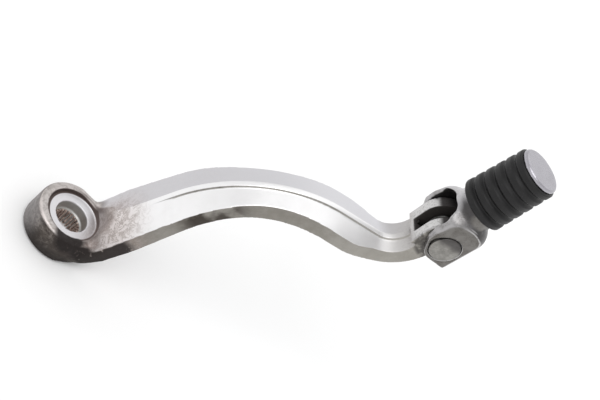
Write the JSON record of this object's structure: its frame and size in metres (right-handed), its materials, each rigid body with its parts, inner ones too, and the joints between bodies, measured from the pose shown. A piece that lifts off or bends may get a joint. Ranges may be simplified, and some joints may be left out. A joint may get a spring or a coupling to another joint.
{
  "type": "folding gear shift pedal",
  "caption": "Curved forged shift lever with a splined hub and a spring-loaded folding toe piece that carries a ribbed rubber sleeve.",
  "frame": {"origin": "middle of the washer seat on the hub's outer face, on the axis of the splined bore", "axes": "+Z along the hub's axis, away from the engine; +X forward along the lever towards the toe piece; +Y down"},
  "size_m": [0.1389, 0.03, 0.1507],
  "materials": {
    "lever_forging": "polished and worn",
    "toe_forging": "satin, worn",
    "sleeve_rubber": "ribbed, matt",
    "pin_steel": "satin",
    "spring_steel": "satin wire"
  },
  "bodies": {
    "lever": {"lever": "lever_forging", "torsion_spring": "spring_steel"},
    "toe": {"toe_piece": "toe_forging", "rubber_sleeve": "sleeve_rubber", "pivot_pin": "pin_steel"}
  },
  "joints": [
    {"name": "toe_fold", "type": "hinge", "parent": "lever", "child": "toe", "pos_m": [0.11, 0, 0.092], "axis": [0, 1, 0], "range_deg": [-90, 0], "stiffness_Nm_per_rad": 0.35, "springref_deg": 45.84, "deforming": ["torsion_spring"]}
  ]
}
